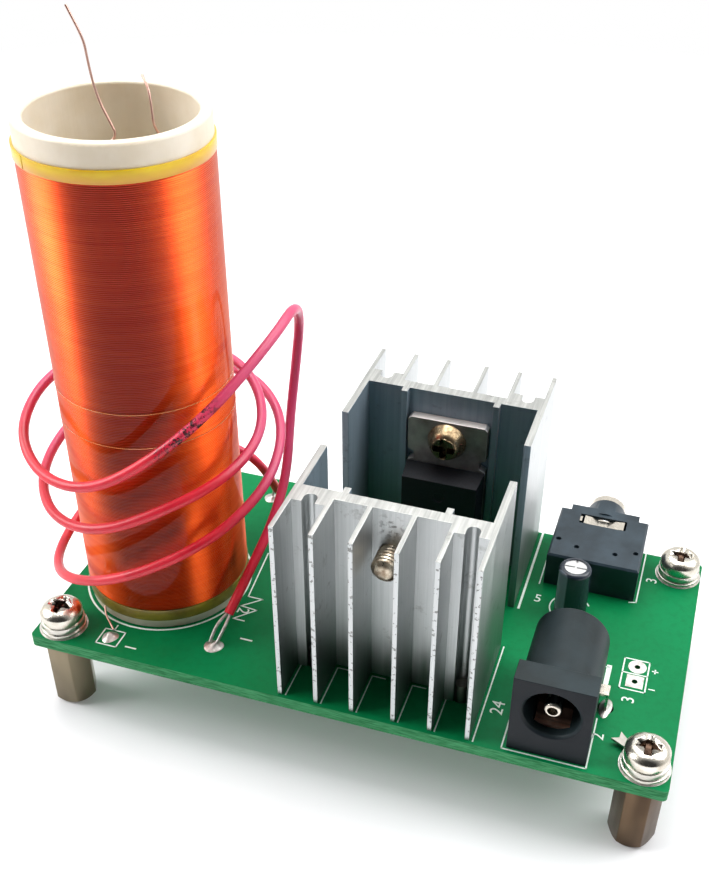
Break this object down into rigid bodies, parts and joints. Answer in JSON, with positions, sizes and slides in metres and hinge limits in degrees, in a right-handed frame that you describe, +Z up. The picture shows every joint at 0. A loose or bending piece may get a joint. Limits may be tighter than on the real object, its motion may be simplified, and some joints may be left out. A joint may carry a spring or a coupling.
{
  "type": "desktop resonant transformer",
  "caption": "Small printed board on hexagonal posts with an upright air-cored coil, loose primary turns, finned heat sinks, a power socket and an audio socket.",
  "frame": {"origin": "on the table under the middle of the object, without the loose primary wire", "axes": "+X to the right along the board's front edge, where the power socket opens; +Y to the back, where the audio socket opens; +Z up along the coil"},
  "size_m": [0.0813, 0.0444, 0.0839],
  "materials": {
    "board_laminate": "green solder mask over glass laminate, glossy",
    "post_metal": "dull nickel over brass, turned and milled",
    "screw_nickel": "bright nickel plate",
    "washer_zinc": "zinc plate, slightly dull",
    "tag_tin": "tinned sheet",
    "tube_plastic": "warm white extruded plastic",
    "enamelled_copper": "orange enamelled copper, fine turns side by side",
    "yellow_tape": "clear yellow film tape",
    "foot_tape": "clear yellow film tape over copper",
    "bare_copper": "bright copper wire",
    "red_sheath": "red flexible insulation, semi-gloss",
    "solder_tin": "bright solder",
    "sink_aluminium": "extruded aluminium with sawn ends",
    "pin_tin": "tinned steel pin",
    "tab_tin": "tinned copper plate, satin",
    "case_epoxy": "moulded black epoxy",
    "lead_tin": "tinned copper strip",
    "power_housing": "dark moulded plastic",
    "contact_nickel": "nickel plated brass",
    "contact_bronze": "phosphor bronze strip, silvered at its ends",
    "audio_housing": "dark moulded plastic, semi-gloss",
    "can_aluminium": "drawn aluminium can",
    "can_sleeve": "shrunk film with a pale stripe",
    "bung_rubber": "black rubber",
    "chip_ceramic": "black glazed ceramic"
  },
  "bodies": {
    "board": {"standoffs": "post_metal", "flat_washers": "washer_zinc", "spring_washers": "washer_zinc", "board_screws": "screw_nickel", "solder_tag": "tag_tin", "coil_tube": "tube_plastic", "secondary_winding": "enamelled_copper", "top_tape": "yellow_tape", "bottom_tape": "foot_tape", "discharge_wire": "bare_copper", "short_wire": "bare_copper", "secondary_lead": "bare_copper", "primary_winding": "red_sheath", "primary_wire_ends": "bare_copper", "top_solder": "solder_tin", "front_heatsink": "sink_aluminium", "rear_heatsink": "sink_aluminium", "heatsink_pins": "pin_tin", "front_transistor_tab": "tab_tin", "rear_transistor_tab": "tab_tin", "front_transistor_case": "case_epoxy", "rear_transistor_case": "case_epoxy", "front_transistor_leads": "lead_tin", "rear_transistor_leads": "lead_tin", "transistor_screws": "screw_nickel", "power_socket_housing": "power_housing", "power_socket_pin": "contact_nickel", "power_socket_terminal": "contact_nickel", "power_socket_side_terminal": "contact_nickel", "audio_socket_housing": "audio_housing", "audio_socket_bush": "contact_nickel", "audio_socket_terminals": "contact_nickel", "capacitor_can": "can_aluminium", "capacitor_sleeve": "can_sleeve", "capacitor_bung": "bung_rubber", "capacitor_leads": "lead_tin", "chip_resistors": "chip_ceramic", "chip_end_caps": "solder_tin", "clamp_diode": "case_epoxy", "clamp_diode_tabs": "lead_tin", "solder_joints": "solder_tin", "circuit_board": "board_laminate"},
    "power_leaf": {"power_socket_leaf": "contact_bronze"},
    "audio_tip": {"audio_socket_tip_spring": "contact_nickel"},
    "audio_ring": {"audio_socket_ring_spring": "contact_nickel"},
    "audio_ground": {"audio_socket_ground_spring": "contact_nickel"}
  },
  "joints": [
    {"name": "power_leaf_flex", "type": "hinge", "parent": "board", "child": "power_leaf", "pos_m": [0.02525, -0.01002, 0.0142], "axis": [1, 0, 0], "range_deg": [0, 3.5], "stiffness_Nm_per_rad": 0.05},
    {"name": "audio_tip_flex", "type": "hinge", "parent": "board", "child": "audio_tip", "pos_m": [0.02887, 0.01537, 0.01405], "axis": [0, 0, 1], "range_deg": [0, 5.5], "stiffness_Nm_per_rad": 0.02},
    {"name": "audio_ring_flex", "type": "hinge", "parent": "board", "child": "audio_ring", "pos_m": [0.02147, 0.00887, 0.01405], "axis": [0, 0, 1], "range_deg": [0, 6], "stiffness_Nm_per_rad": 0.02},
    {"name": "audio_ground_flex", "type": "hinge", "parent": "board", "child": "audio_ground", "pos_m": [0.02252, 0.01673, 0.01635], "axis": [0, 1, 0], "range_deg": [-5, 0], "stiffness_Nm_per_rad": 0.02}
  ]
}
